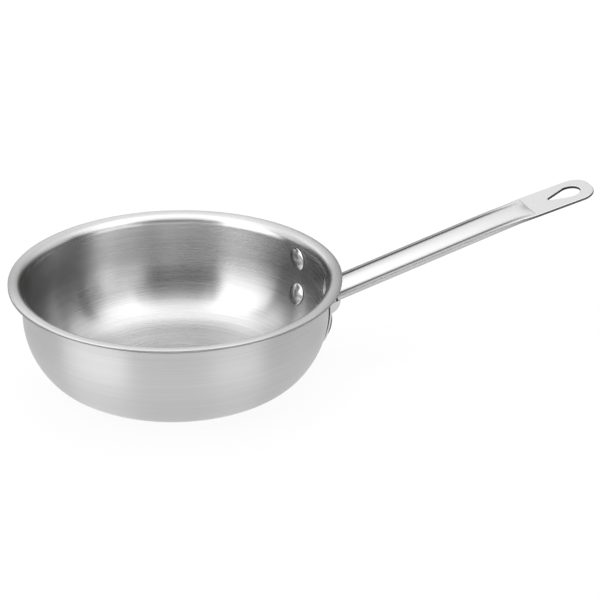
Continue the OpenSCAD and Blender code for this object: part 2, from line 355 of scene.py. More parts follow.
def metal(name, turned, dulled_and_shaded, colour, rough, rough_change, tone, stroke, fineness,
          bump, spread=0.0):
    """A brushed metal; spread smears its reflections across the rings of a bowl."""
    material = bpy.data.materials.new(name)
    material.use_nodes = True
    tree = material.node_tree
    place = add_node(tree, "ShaderNodeTexCoord").outputs["Object"]
    if turned:
        lay = add_node(tree, "ShaderNodeGroup", node_tree=turned_lay)
        tree.links.new(place, lay.inputs[0])
    else:
        lay = add_node(tree, "ShaderNodeMapping", {0: place, "Rotation": LENGTHWISE})
    values = {"Lay": lay.outputs[0], "Stroke": stroke, "Fineness": fineness,
              "Rough": rough, "Rough Change": rough_change, "Steel": (*colour, 1),
              "Tone Change": tone}
    # A dulled metal reads its points' dull value, which adds roughness and painted shade.
    if dulled_and_shaded:
        dull_and_shade = add_node(tree, "ShaderNodeAttribute", attribute_name="dull_and_shade")
        values["Dull And Shade"] = dull_and_shade.outputs["Fac"]
    look = add_node(tree, "ShaderNodeGroup", values, node_tree=grain)
    dent = add_node(tree, "ShaderNodeBump", {
        "Strength": 1.0, "Distance": bump, "Height": look.outputs["Height"]})
    shader = tree.nodes["Principled BSDF"]
    for label, source in (("Base Color", look.outputs["Colour"]),
                          ("Roughness", look.outputs["Roughness"]),
                          ("Normal", dent.outputs[0])):
        tree.links.new(source, shader.inputs[label])
    shader.inputs["Metallic"].default_value = 1.0
    if spread:
        shader.inputs["Anisotropic"].default_value = spread
        shader.inputs["Anisotropic Rotation"].default_value = QUARTER_TURN
        tangent = add_node(tree, "ShaderNodeTangent", direction_type="RADIAL", axis="Z")
        tree.links.new(tangent.outputs[0], shader.inputs["Tangent"])
    return material


# %% The pan's metals
# In order: whether it is turned, whether it is dulled and darkened by painted shade,
# colour, roughness and its change, change of tone, stroke, fineness and bump in metres.
inside_steel = metal("steel_brushed_round_inside", True, False, (0.57, 0.57, 0.57),
                     0.26, 0.12, 0.5, 1.2, 1400.0, 0.000004, spread=0.97)
# The outside steel's colour is a little paler than the inside steel's so that the bowl's
# outside comes out brighter: that difference is painted light.
outside_steel_brightened = metal("steel_brushed_round_outside", True, False, (0.59, 0.59, 0.59),
                      0.38, 0.14, 0.32, 1.2, 1500.0, 0.00001, spread=0.97)
core_metal = metal("bare_aluminium", True, False, (0.34, 0.33, 0.32),
                   0.5, 0.2, 1.2, 12.0, 3000.0, 0.00003)
handle_steel = metal("steel_brushed_lengthwise", False, True, (0.61, 0.61, 0.61),
                     0.24, 0.08, 0.05, 30.0, 2200.0, 0.00001)
bracket_steel = metal("steel_pressed", False, True, (0.575, 0.575, 0.575),
                      0.34, 0.1, 0.06, 60.0, 1800.0, 0.00001)
rivet_steel = metal("steel_polished", True, True, (0.72, 0.72, 0.72),
                    0.2, 0.1, 0.05, 200.0, 200.0, 0.00001)
print("metals:", ", ".join(m.name for m in (
    inside_steel, outside_steel_brightened, core_metal, handle_steel, bracket_steel, rivet_steel)))

# %% [markdown]
# ## The bowl
# A clad bowl is spun or deep drawn from one flat disc of three bonded metals: steel
# inside, a thicker aluminium core that carries the heat, and steel outside. It could
# be sculpted or subdivided from a cylinder, but a round thing is truest when it is
# made the way a lathe makes it: the section is drawn once and turned about the
# axis. The section follows a rule: a flat base, two arcs that run into each other,
# an upright wall and a lip that bends outwards and rises a little.

# %% The bowl's sizes
RIM_R, RIM_H, BASE_R, UPRIGHT_H = 110.0, 71.0, 62.0, 47.8
CORNER_TURN, WALL_R, LIP_BEND_R, LIP_SLOPE = 52.0, 101.4, 3.8, 6.0
OUTER_T, CORE_T, INNER_T = 0.5, 1.2, 0.5
WALL_T = OUTER_T + CORE_T + INNER_T

# The corner's arc and the side's arc share one tangent after CORNER_TURN degrees.
side_run, turn = WALL_R - BASE_R, math.radians(CORNER_TURN)
turn_sum = math.sin(turn) + math.cos(turn) - 1
CORNER_R = (side_run * math.cos(turn) - UPRIGHT_H * (1 - math.sin(turn))) / turn_sum
SIDE_R = (UPRIGHT_H * math.sin(turn) - side_run * (1 - math.cos(turn))) / turn_sum
SIDE_X = WALL_R - SIDE_R
BEND_X = WALL_R + LIP_BEND_R
print("arc radii", round(CORNER_R, 2), "and", round(SIDE_R, 2), "mm")


# %% The bowl's section
def arc(centre, radius, first, last, step=2.0):
    """Points on an arc, both ends included, with its angles in degrees."""
    steps = max(1, math.ceil(abs(last - first) / step))
    angles = [math.radians(first + (last - first) * i / steps) for i in range(steps + 1)]
    return [(centre[0] + radius * math.cos(a), centre[1] + radius * math.sin(a))
            for a in angles]


def lip_climb(depth):
    """The lip's rise from its bend to its edge, at a depth below the outer surface."""
    slope = math.radians(LIP_SLOPE)
    return (LIP_BEND_R + depth) / math.cos(slope) + (RIM_R - BEND_X) * math.tan(slope)


BEND_Z = RIM_H - lip_climb(WALL_T)
FLAT_RADII = (0, 6, 14, 24, 34, 44, 53)


def section_line(depth, edge_back):
    """The section at a depth below the outer surface, from the axis to the edge."""
    flat = [(r, depth) for r in FLAT_RADII]
    corner = arc((BASE_R, CORNER_R), CORNER_R - depth, -90, CORNER_TURN - 90)
    side = arc((SIDE_X, UPRIGHT_H), SIDE_R - depth, CORNER_TURN - 90, 0)[1:]
    bend = arc((BEND_X, BEND_Z), LIP_BEND_R + depth, 180, 90 + LIP_SLOPE, 4.0)
    edge_drop = edge_back * math.tan(math.radians(LIP_SLOPE))
    edge = (RIM_R - edge_back, BEND_Z + lip_climb(depth) - edge_drop)
    return flat + corner + side + bend + [edge]


print("points on one line of the section:", len(section_line(0.0, 0.0)))

# %% Geometry Nodes: the lathe
# The tree turns a section about +Z. Its path is a circle of a known radius, and the
# section is shifted by that radius first, so that nothing is stretched.
def new_tree(name, inputs):
    """A Geometry Nodes tree with its own inputs and a geometry in and out."""
    tree = bpy.data.node_groups.new(name, "GeometryNodeTree")
    for way in ("INPUT", "OUTPUT"):
        tree.interface.new_socket("Geometry", in_out=way,
                                  socket_type="NodeSocketGeometry")
    for label, (kind, value) in inputs.items():
        socket = tree.interface.new_socket(label, in_out="INPUT",
                                           socket_type="NodeSocket" + kind)
        if value is not None:
            socket.default_value = value
    return (tree, add_node(tree, "NodeGroupInput").outputs,
            add_node(tree, "NodeGroupOutput"))


def close_tree(tree, shape, material, end):
    """The last two nodes of every tree: Realize Instances and Set Material."""
    real = add_node(tree, "GeometryNodeRealizeInstances", {0: shape})
    dressed = add_node(tree, "GeometryNodeSetMaterial",
                       {0: real.outputs[0], "Material": material})
    tree.links.new(dressed.outputs[0], end.inputs[0])


lathe, given, end = new_tree("lathe", {
    "Path Radius": ("Float", 0.05), "Steps": ("Int", 240), "Weld": ("Float", 0.000002),
    "Material": ("Material", None)})
back = maths(lathe, "MULTIPLY", given["Path Radius"], -1.0)
shift = add_node(lathe, "ShaderNodeCombineXYZ", {0: back})
moved = add_node(lathe, "GeometryNodeSetPosition",
                 {"Geometry": given["Geometry"], "Offset": shift.outputs[0]})
profile = add_node(lathe, "GeometryNodeMeshToCurve", {0: moved.outputs[0]})
circle = add_node(lathe, "GeometryNodeCurvePrimitiveCircle",
                  {"Resolution": given["Steps"], "Radius": given["Path Radius"]})
upright = add_node(lathe, "GeometryNodeSetCurveNormal", {0: circle.outputs[0]},
                   mode="Z_UP")
turned = add_node(lathe, "GeometryNodeCurveToMesh",
                  {"Curve": upright.outputs[0], "Profile Curve": profile.outputs[0]})
welded = add_node(lathe, "GeometryNodeMergeByDistance",
                  {"Geometry": turned.outputs[0], "Distance": given["Weld"]})
outward = add_node(lathe, "GeometryNodeFlipFaces", {"Mesh": welded.outputs[0]})
close_tree(lathe, outward.outputs[0], given["Material"], end)
print("nodes in the lathe:", len(lathe.nodes))


# %% From a modifier to a plain mesh
def plain(item):
    """The mesh that an object's modifiers make. The object itself is removed."""
    depsgraph = bpy.context.evaluated_depsgraph_get()
    mesh = bpy.data.meshes.new_from_object(item.evaluated_get(depsgraph))
    item.modifiers.clear()
    bpy.data.objects.remove(item)
    return mesh


def add_boolean(item, tool, operation):
    """Cuts an object with another, or joins the two."""
    modifier = item.modifiers.new("boolean", "BOOLEAN")
    modifier.operation = operation
    modifier.solver = "EXACT"
    modifier.object = tool


def run_tree(source, tree, values, cutter=None):
    """Runs a tree on a mesh, with its inputs set by name, and keeps the result."""
    holder = add_object("holder", source)
    modifier = holder.modifiers.new("tree", "NODES")
    modifier.node_group = tree
    for socket in tree.interface.items_tree:
        if socket.in_out == "INPUT" and socket.name in values:
            modifier[socket.identifier] = values[socket.name]
    if cutter:
        add_boolean(holder, cutter, "DIFFERENCE")
    return plain(holder)


# %% From a plain mesh to a piece
SPECK = 0.000003


def tidy_mesh(mesh, sharp=40):
    """Drops specks, turns faces outwards and marks edges over sharp degrees crisp.
    Gives back how many edges don't have two faces."""
    work = bmesh.new()
    work.from_mesh(mesh)
    bmesh.ops.remove_doubles(work, verts=work.verts, dist=SPECK)
    bmesh.ops.dissolve_degenerate(work, edges=work.edges, dist=SPECK)
    bmesh.ops.triangulate(work, faces=[f for f in work.faces if len(f.verts) > 4])
    bmesh.ops.recalc_face_normals(work, faces=work.faces)
    open_edges = sum(len(e.link_faces) != 2 for e in work.edges)
    work.to_mesh(mesh)
    work.free()
    mesh.shade_smooth()
    mesh.set_sharp_from_angle(angle=math.radians(sharp))
    return open_edges


def place_piece(name, mesh, node):
    """Links a finished piece in the pan's frame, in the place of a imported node."""
    mesh.name = name
    piece = add_object(name, mesh)
    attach(piece, "root")
    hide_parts(node)


# %% Where the rivets stand
# Each rivet has its height on the wall and its offset from the handle's middle.
SHANK_D, RIVET_FIT = 5.0, 0.05
RIVETS = {
    "upper_left": (57.0, 27.5), "upper_right": (57.0, -27.5),
    "lower_left": (31.5, 24.5), "lower_right": (31.5, -24.5)}


def wall_turn(z):
    """Angle of the wall at a height, in degrees: 90 is upright."""
    return 90.0 if z >= UPRIGHT_H else math.degrees(math.acos((UPRIGHT_H - z) / SIDE_R))


def wall_radius(z):
    """Radius of the wall's outside at a height."""
    if z >= UPRIGHT_H:
        return WALL_R
    return SIDE_X + SIDE_R * math.sin(math.radians(wall_turn(z)))


def on_wall(z, offset):
    """Matrix that sets +Z along the wall's normal, in millimetres."""
    r = wall_radius(z)
    return (Matrix.Rotation(math.asin(offset / r), 4, "Z") @ Matrix.Translation((r, 0, z))
            @ Matrix.Rotation(math.radians(180 - wall_turn(z)), 4, "Y"))


print("wall's angle at the lower rivets:", round(wall_turn(RIVETS["lower_left"][0]), 1))

# %% Drills for the rivets' holes
bores = bmesh.new()
bore_r = SHANK_D / 2 + RIVET_FIT
for z, offset in RIVETS.values():
    bmesh.ops.create_cone(bores, cap_ends=True, segments=32, radius1=bore_r,
                          radius2=bore_r, depth=20, matrix=on_wall(z, offset))
bores.transform(Matrix.Scale(MM, 4))
bore_mesh = bpy.data.meshes.new("bores")
bores.to_mesh(bore_mesh)
bores.free()
bore_tool = add_object("bores", bore_mesh)
print("bore width", 2 * bore_r, "mm")


# %% A layer's section
def section_mesh(name, points):
    """A section for the lathe, in its own XY plane: radius along X, height down Y."""
    mesh = bpy.data.meshes.new(name)
    mesh.from_pydata([(r * MM, -z * MM, 0) for r, z in points],
                     [(i, i + 1) for i in range(len(points) - 1)], [])
    return mesh


def layer_section(near, far, edge_back, round_r):
    """A layer's section between two depths, with its corners at the lip rounded."""
    lower, upper = section_line(near, edge_back), section_line(far, edge_back)
    (r0, z0), (r1, z1) = lower[-1], upper[-1]
    lip_edge = (arc((r0 - round_r, z0 + round_r), round_r, -90, 0, 30)
                + arc((r1 - round_r, z1 - round_r), round_r, 0, 90, 30))
    return lower[:-1] + lip_edge + upper[:-1][::-1]


core_in, core_out = OUTER_T, OUTER_T + CORE_T
print("the core lies", core_in, "to", core_out, "mm below the outside")

# %% Turn the three layers
# Each layer has its two depths, how far its edge stands back and the edge's rounding.
LAYERS = [
    ("bowl_skin_outside", "outer_skin", "bowl_steel_outside", outside_steel_brightened,
     (0.0, core_in, 0.0, 0.18)),
    ("bowl_core", "aluminium_core", "core_aluminium", core_metal,
     (core_in, core_out, 0.12, 0.25)),
    ("bowl_skin_inside", "inner_skin", "bowl_steel_inside", inside_steel,
     (core_out, WALL_T, 0.0, 0.2)),
]
for name, node, slot, material, sizes in LAYERS:
    section = section_mesh(name + "_section", layer_section(*sizes))
    mesh = run_tree(section, lathe, {"Material": material}, bore_tool)
    open_edges = tidy_mesh(mesh)
    place_piece(name, mesh, node)
    print(name, "faces", len(mesh.polygons), "open edges", open_edges,
          "height", round(max(v.co.z for v in mesh.vertices) / MM, 2), "mm")

# %% [markdown]
# ## The handle
# The handle is one pressed sheet. Along the grip, two round beads stiffen the long
# edges and the panel between them lies a little lower; underneath it is hollow.
# Towards the end the beads fade, the panel runs down in a crowned ramp, and after
# a crease the sheet is flat and wider. It could be cut from a box and bevelled,
# but a shape whose section changes along its length is best made as a loft: one
# outline per station, all with the same number of points, joined by quads.

# %% The grip's sizes
GRIP_RISE, ROOT_H, GRIP_LEN, GRIP_W, FLAT_W = 15.4, 41.5, 150.0, 28.4, 30.8
FLAT_LEN, FLAT_RISE, TIP_CORNER_R, SHEET_T = 48.0, 12.5, 12.0, 2.0
BEAD_R, GRIP_DEPTH, PANEL_TOP, FOOT_R, EDGE_R = 1.8, 3.7, 2.95, 0.8, 0.45
FLARE_LEN, FADE_LEN, RAMP_LEN, CROWN = 12.0, 43.0, 9.0, 0.5
SIDE_TOP, FLAT_SIDE_TOP, FLAT_SPARE, PANEL_STEPS = 1.2, 1.0, 1.0, 18
CREASE_TURN = GRIP_RISE - FLAT_RISE

bead_h = GRIP_DEPTH - BEAD_R
foot_rise = PANEL_TOP + FOOT_R - bead_h
foot_in = BEAD_R + math.sqrt((BEAD_R + FOOT_R) ** 2 - foot_rise ** 2)
foot_angle = math.degrees(math.atan2(foot_rise, foot_in - BEAD_R))
print("panel starts", round(foot_in, 2), "mm in from the grip's side")

# %% One side of the outline
# Both lists hold (inset from the side, height): the bead at its full height, and
# the flat's edge with as many points. A station in between is a mix of the two.
low_edge = [(EDGE_R, 0.0), (EDGE_R * 0.3, EDGE_R * 0.3), (0.0, EDGE_R)]
bead = arc((BEAD_R, bead_h), BEAD_R, 180, foot_angle, 9.0)
foot = arc((foot_in, PANEL_TOP + FOOT_R), FOOT_R, 180 + foot_angle, 270, 9.0)[1:]
FULL_SIDE = low_edge + [(0.0, SIDE_TOP)] + bead + foot
high_edge = arc((EDGE_R, SHEET_T - EDGE_R), EDGE_R, 180, 90, 15.0)
flat_reach, spare = foot_in + FLAT_SPARE, len(bead) + len(foot) - len(high_edge)
FLAT_SIDE = low_edge + [(0.0, FLAT_SIDE_TOP)] + high_edge
FLAT_SIDE += [(EDGE_R + (flat_reach - EDGE_R) * (i + 1) / spare, SHEET_T)
              for i in range(spare)]
print("points on one side of the outline:", len(FULL_SIDE), "and", len(FLAT_SIDE))


# %% The outline at a station
FADE_POWER, RAMP_POWER = 2.2, 2


def fade(distance):
    """How much of a bead is left at a distance before the crease: 1 is all of it."""
    return 1 - (1 - min(max(distance, 0.0) / FADE_LEN, 1.0)) ** FADE_POWER


def ramp(distance):
    """How far the panel's middle has risen at a distance before the crease."""
    return 1 - (1 - min(max(distance, 0.0) / RAMP_LEN, 1.0)) ** RAMP_POWER


HOLLOW_INSET, HOLLOW_BEND, HOLLOW_SHARE = 1.0, 0.4, 0.6


def station(distance):
    """The closed outline at a distance before the crease, as (w, h) pairs."""
    left, before = fade(distance), max(distance, 0.0)
    half = GRIP_W / 2 + (FLAT_W - GRIP_W) / 2 * max(0.0, 1 - before / FLARE_LEN)
    side = [(half - (a[0] * left + b[0] * (1 - left)), a[1] * left + b[1] * (1 - left))
            for a, b in zip(FULL_SIDE, FLAT_SIDE)]
    inner, rise = side[-1][0], PANEL_TOP - SHEET_T
    edge_top = SHEET_T + rise * left
    middle_top = SHEET_T + (rise + CROWN * left) * ramp(distance)
    hollow_half, hollow_top = half - SHEET_T, edge_top - SHEET_T
    panel, roof = [], []
    for i in range(1, PANEL_STEPS):
        w = inner * (1 - 2 * i / PANEL_STEPS)
        h = edge_top + (middle_top - edge_top) * (1 - (w / inner) ** 2)
        panel.append((w, h))
        roof.append((-w * (hollow_half - HOLLOW_INSET) / inner, h - SHEET_T))
    hollow = [(hollow_half, 0.0), (hollow_half, hollow_top * HOLLOW_SHARE),
              (hollow_half - HOLLOW_BEND, hollow_top)]
    mirrored = [(-w, h) for w, h in reversed(side)]
    return side + panel + mirrored + [(-w, h) for w, h in hollow] + roof + hollow[::-1]


print("points round the grip:", len(station(GRIP_LEN)))

# %% How dull and shaded each line of the grip is
# The wheel polishes the panel. The beads, the fillets at their feet, the sheared edge
# of the flat and the underside are made rougher and darker; the darkening is painted
# shade, darkest in the fillets at the feet of the beads.
# Each value adds roughness and darkens the colour as painted shade.
SIDE_DULL_SHADE, BEAD_DULL_SHADE, SLOPE_DULL_SHADE, FOOT_DULL_SHADE = 0.22, 0.55, 0.6, 1.0
CUT_DULL_SHADE, CREASE_DULL_SHADE, UNDER_DULL_SHADE, TOP_SHARE = 0.8, 0.5, 0.2, 0.6
PANEL_DULL_SHADE = (0.5, 0.12, 0.03)
LOW_POINTS, FOOT_POINTS, CUT_POINTS = 4, 5, 7


def side_dull_shade(i):
    """Dullness and painted shade of one point on the side, where the bead is at its full
    height.
    """
    bead_end = len(FULL_SIDE) - FOOT_POINTS
    passed = (i - LOW_POINTS) / (bead_end - LOW_POINTS)
    if passed < 0:
        return SIDE_DULL_SHADE
    if passed >= 1:
        return FOOT_DULL_SHADE
    if passed < TOP_SHARE:
        return SIDE_DULL_SHADE + (BEAD_DULL_SHADE - SIDE_DULL_SHADE) * passed / TOP_SHARE
    return BEAD_DULL_SHADE + (SLOPE_DULL_SHADE - BEAD_DULL_SHADE) * (passed - TOP_SHARE) / (1 - TOP_SHARE)


def dull_shade_row(distance):
    """A value from 0, polished and unshaded, to 1, rough and darkest in painted shade,
    for every point of a station's outline.
    """
    left = fade(distance)
    side = [side_dull_shade(i) * left + (CUT_DULL_SHADE if i < CUT_POINTS else 0.0) * (1 - left)
            for i in range(len(FULL_SIDE))]
    panel = [0.0] * (PANEL_STEPS - 1)
    for i, value in enumerate(PANEL_DULL_SHADE):
        panel[i] = panel[-1 - i] = value * left
    under = [UNDER_DULL_SHADE] * (len(station(distance)) - 2 * len(side) - len(panel))
    return side + panel + side[::-1] + under


print("dullest line:", max(dull_shade_row(GRIP_LEN)), "least dull:", min(dull_shade_row(GRIP_LEN)))

# %% Places of the grip and of the flat
# The grip starts on the outside of the bracket's plate, whose sheet is PLATE_T thick.
PLATE_T = 2.0
grip_place = (Matrix.Translation((RIM_R, 0, ROOT_H))
              @ Matrix.Rotation(-math.radians(GRIP_RISE), 4, "Y"))
flat_place = (grip_place @ Matrix.Translation((GRIP_LEN, 0, 0))
              @ Matrix.Rotation(math.radians(CREASE_TURN), 4, "Y"))
crease_lean = math.tan(math.radians(CREASE_TURN / 2))


def root_run(w, h):
    """Where a line of the grip meets the outside of the bracket's plate."""
    reach = math.sqrt((WALL_R + PLATE_T) ** 2 - w * w)
    turn = math.radians(GRIP_RISE)
    return (reach - RIM_R + h * math.sin(turn)) / math.cos(turn)


print("crease stands", round((flat_place @ Vector()).z, 1), "mm above the base")

# %% Stations along the grip
# Runs are measured along the grip from below the lip's edge. They stand closer
# where the beads fade and the panel runs down. A narrow groove, two stations wide,
# shows where the grip butts on its bracket; its points are darkened as painted shade.
GROOVE_RUNS, GROOVE_DEPTH, GROOVE_FROM = (-1.6, -0.4), 1.0, 1.0
runs = [-4, -1.75, *GROOVE_RUNS, -0.25, 6, 14, 24, 36, 48, 60, 72, 84, 94, 102]
runs += [104 + 2 * i for i in range(12)] + [128 + i for i in range(22)] + [149.6]
stations = [[grip_place @ Vector((root_run(w, h), w, h)) for w, h in station(GRIP_LEN)]]
dull_shade_rows = [dull_shade_row(GRIP_LEN)]
for run in runs:
    ring = [Vector((run, w, h)) for w, h in station(GRIP_LEN - run)]
    row = dull_shade_row(GRIP_LEN - run)
    if run in GROOVE_RUNS:
        # The groove's points get the full value: rough and darkened as painted shade in
        # the joint.
        row = [1.0] * len(ring)
        for point in ring:
            point.y *= 1 - GROOVE_DEPTH / (GRIP_W / 2)
            point.z -= GROOVE_DEPTH * max(0.0, point.z - GROOVE_FROM) / GRIP_DEPTH
    stations.append([grip_place @ point for point in ring])
    dull_shade_rows.append(row)
print("stations before the crease:", len(stations))

# %% Stations along the flat
# One station stands close behind the crease and keeps it crisp.
TIP_STEPS, FLAT_STEP, NEAR_CREASE, CREASE_POINTS = 15, 1.5, 0.4, 8
flat_line = station(0.0)
stations.append([grip_place @ Vector((GRIP_LEN + h * crease_lean, w, h))
                 for w, h in flat_line])
straight = FLAT_LEN - TIP_CORNER_R
flat_runs = [FLAT_STEP * (i + 1) for i in range(int(straight / FLAT_STEP))]
for run in [NEAR_CREASE] + flat_runs:
    stations.append([flat_place @ Vector((run, w, h)) for w, h in flat_line])
narrow = FLAT_W / 2 - TIP_CORNER_R
for step in range(1, TIP_STEPS + 1):
    angle = math.radians(90 * step / TIP_STEPS)
    ring = []
    for w, h in flat_line:
        inset = min(FLAT_W / 2 - abs(w), EDGE_R)
        reach = TIP_CORNER_R - inset
        y = w / (FLAT_W / 2 - inset) * (narrow + reach * math.cos(angle))
        ring.append(flat_place @ Vector((straight + reach * math.sin(angle), y, h)))
    stations.append(ring)

flat_row = dull_shade_row(0.0)
side_count = len(FULL_SIDE)
top_points = range(side_count - CREASE_POINTS,
                   side_count + PANEL_STEPS - 1 + CREASE_POINTS)
# The line at the crease is darkened across the top: painted shade at the crease.
dull_shade_rows.append([max(value, CREASE_DULL_SHADE) if i in top_points else value
                  for i, value in enumerate(flat_row)])
dull_shade_rows += [flat_row] * (len(stations) - len(dull_shade_rows))
print("stations in all:", len(stations))


# %% Helpers for meshes made of rings
def skin(work, rings):
    """Joins each closed ring of points to the next with quads."""
    for before, after in zip(rings, rings[1:]):
        for i in range(len(before)):
            j = (i + 1) % len(before)
            work.faces.new((before[i], before[j], after[j], after[i]))


def finished(work, name):
    """Turns a bmesh in millimetres into a mesh in metres whose faces look outwards."""
    bmesh.ops.transform(work, matrix=Matrix.Scale(MM, 4), verts=work.verts)
    bmesh.ops.recalc_face_normals(work, faces=work.faces)
    print(name, "open edges", sum(len(e.link_faces) != 2 for e in work.edges))
    mesh = bpy.data.meshes.new(name)
    work.to_mesh(mesh)
    work.free()
    return mesh


# %% Loft the handle
loft = bmesh.new()
dull_shade_layer = loft.verts.layers.float.new("dull_and_shade")
rings = [[loft.verts.new(point) for point in ring] for ring in stations]
for ring, row in zip(rings, dull_shade_rows):
    for vertex, value in zip(ring, row):
        vertex[dull_shade_layer] = value
skin(loft, rings)
loft.faces.new(rings[0])
# The tip is closed by strips from one side's rounded edge to the other's.
last, far_side = rings[-1], 2 * side_count + PANEL_STEPS - 1
left_side = last[:side_count]
right_side = last[far_side - side_count:far_side][::-1]
edge_end = next(i for i, (w, h) in enumerate(flat_line) if h >= SHEET_T - 1e-6)
for i in range(1, edge_end - 1):
    loft.faces.new((left_side[i], left_side[i + 1], right_side[i + 1], right_side[i]))
loft.faces.new([left_side[edge_end - 1], *last[edge_end:far_side - edge_end],
                right_side[edge_end - 1]])
loft.faces.new([right_side[1], right_side[0], *last[far_side:], *left_side[:2]])
bmesh.ops.remove_doubles(loft, verts=loft.verts, dist=1e-5)
bmesh.ops.triangulate(loft, faces=[f for f in loft.faces if len(f.verts) > 4])
handle_mesh = finished(loft, "loft")

# %% [markdown]
# ## The hanging hole
# The press punches a teardrop through the flat end and rounds its rim a little. The
# loft could leave the hole open, but its rings run across the handle and the hole
# doesn't follow them. So a punch is made, as wide as the hole and wider where the
# rim is rounded, and it is taken out of the finished sheet.

# %% The hole's outline
HOLE_W, HOLE_LEN, HOLE_TIP_R, HOLE_MARGIN, HOLE_EDGE_R = 15.4, 24.0, 2.4, 8.0, 0.4
hole_r = HOLE_W / 2
hole_x = FLAT_LEN - HOLE_MARGIN - hole_r
hole_span = HOLE_LEN - hole_r - HOLE_TIP_R


def teardrop(grow):
    """The hole's outline in the flat's plane, made larger all round by grow."""
    lean = math.degrees(math.acos((hole_r - HOLE_TIP_R) / hole_span))
    big = arc((hole_x, 0), hole_r + grow, lean - 180, 180 - lean, 4.0)
    small = arc((hole_x - hole_span, 0), HOLE_TIP_R + grow, 180 - lean, 180 + lean, 9.0)
    return big + small


print("points round the hole:", len(teardrop(0.0)))

# %% Punch the hanging hole
PUNCH_REACH, PUNCH_LAP, PUNCH_SPARE = 2.0, 0.06, 1.1
ROUND_ANGLES = (0, 22.5, 45, 67.5, 90)
wide = PUNCH_SPARE * HOLE_EDGE_R
levels = [(-PUNCH_REACH, wide), (-PUNCH_LAP, wide)]
levels += [(HOLE_EDGE_R * (1 - math.sin(math.radians(a))),
            HOLE_EDGE_R * (1 - math.cos(math.radians(a)))) for a in ROUND_ANGLES[-2::-1]]
levels += [(SHEET_T - h, grow) for h, grow in reversed(levels)]
punch = bmesh.new()
cuts = [[punch.verts.new(flat_place @ Vector((x, y, h))) for x, y in teardrop(grow)]
        for h, grow in levels]
skin(punch, cuts)
punch.faces.new(cuts[0])
punch.faces.new(cuts[-1])


def cut_mesh(mesh, tool_mesh, operation="DIFFERENCE"):
    """Cuts one closed mesh with another and keeps the plain result."""
    work, tool = add_object("work", mesh), add_object("tool", tool_mesh)
    add_boolean(work, tool, operation)
    result = plain(work)
    bpy.data.objects.remove(tool)
    return result


handle_mesh = cut_mesh(handle_mesh, finished(punch, "punch"))
print("open edges on the handle:", tidy_mesh(handle_mesh))

# %% The hole's dull, shaded wall and the crisp crease
HOLE_DULL_SHADE, HOLE_REACH, WALL_REACH = 1.0, 0.5, 0.2
# HAIR, in millimetres, is how closely two places have to agree.
HAIR = 0.01
back_to_grip, back_to_flat = grip_place.inverted(), flat_place.inverted()
dull_shade_values = handle_mesh.attributes["dull_and_shade"].data
on_crease = []
for vertex in handle_mesh.vertices:
    x, y, h = back_to_flat @ (vertex.co / MM)
    near_hole = (-hole_span - HOLE_TIP_R - HOLE_REACH < x - hole_x < hole_r + HOLE_REACH
                 and abs(y) < hole_r + HOLE_REACH)
    # The wall of the hole is made rough and darkened: the darkening is painted shade
    # inside the hole.
    if near_hole and WALL_REACH < h < SHEET_T - WALL_REACH:
        dull_shade_values[vertex.index].value = HOLE_DULL_SHADE
    x, y, h = back_to_grip @ (vertex.co / MM)
    on_crease.append(abs(x - GRIP_LEN - h * crease_lean) < HAIR / 10
                     and h > SHEET_T - HAIR)
sharp = handle_mesh.attributes.get("sharp_edge") or handle_mesh.attributes.new(
    "sharp_edge", "BOOLEAN", "EDGE")
for edge in handle_mesh.edges:
    if all(on_crease[v] for v in edge.vertices):
        sharp.data[edge.index].value = True
print("points on the crease:", sum(on_crease))


# %% Place the handle
def even_shading(mesh):
    """Weights each point's normal by the area of its faces, so that flats look flat."""
    work = add_object("work", mesh)
    work.modifiers.new("weigh", "WEIGHTED_NORMAL").keep_sharp = True
    return plain(work)


def finish_piece(name, mesh, material, node):
    """Evens the shading, gives the piece its finish and puts it in its place."""
    mesh = even_shading(mesh)
    mesh.materials.clear()
    mesh.materials.append(material)
    place_piece(name, mesh, node)
    print(name, "faces", len(mesh.polygons))


finish_piece("handle_pressed", handle_mesh, handle_steel, "handle")

# %% [markdown]
# ## The rivets
# Each rivet has a polished dome inside the bowl, a shank through the wall and the
# bracket, and a head that is set flat against the bracket. It is round, so it is
# turned on the same lathe. It could then simply be turned to face the wall, but a
# flat head would stand off a curved wall at its sides. So a second Geometry Nodes
# tree bends it onto the wall: across becomes an angle round the bowl, up becomes an
# angle along the wall's own arc, and out stays out. The lower pair sits on the
# side's arc and the upper pair on the upright wall, an arc of a very large radius.

# %% A rivet's section
# The section runs from the dome's top, inside the bowl, to the set head's top. The
# dome's rim is given as (inset from its side, height above the wall) pairs.
DOME_R, DOME_H, DOME_EDGE, SET_R, SET_H = 8.0, 2.5, 0.6, 7.0, 1.7
DOME_SHARE, SET_EDGE, SET_ROUND_R, SET_FOOT, SET_FOOT_H = 0.93, 0.6, 0.5, 0.3, 0.25
SET_FACE_INSETS = (1.6, 3.5, SET_R)
dome_rise = DOME_H - DOME_EDGE
dome_curve = (DOME_R ** 2 + dome_rise ** 2) / (2 * dome_rise)
dome_half = math.degrees(math.asin(DOME_R / dome_curve))
dome_edge = [(0.28, 0.67), (0.08, 0.5), (0.0, 0.28), (0.1, 0.2), (0.5, 0.08), (0.7, 0.0)]
set_top, set_side = PLATE_T + SET_H, PLATE_T + SET_H - SET_EDGE
set_edge = arc((SET_R - SET_ROUND_R, set_side), SET_ROUND_R, 0, 75, 15)[1:]
rivet_line = arc((0, dome_curve - WALL_T - DOME_H), dome_curve,
                 -90, -90 + dome_half * DOME_SHARE, 0.8)
rivet_line += [(DOME_R - inset, -WALL_T - h) for inset, h in dome_edge]
rivet_line += [(SHANK_D / 2, -WALL_T), (SHANK_D / 2, PLATE_T),
               (SET_R - SET_FOOT, PLATE_T), (SET_R, PLATE_T + SET_FOOT_H),
               (SET_R, set_side)] + set_edge
rivet_line += [(SET_R - inset, set_top) for inset in SET_FACE_INSETS]
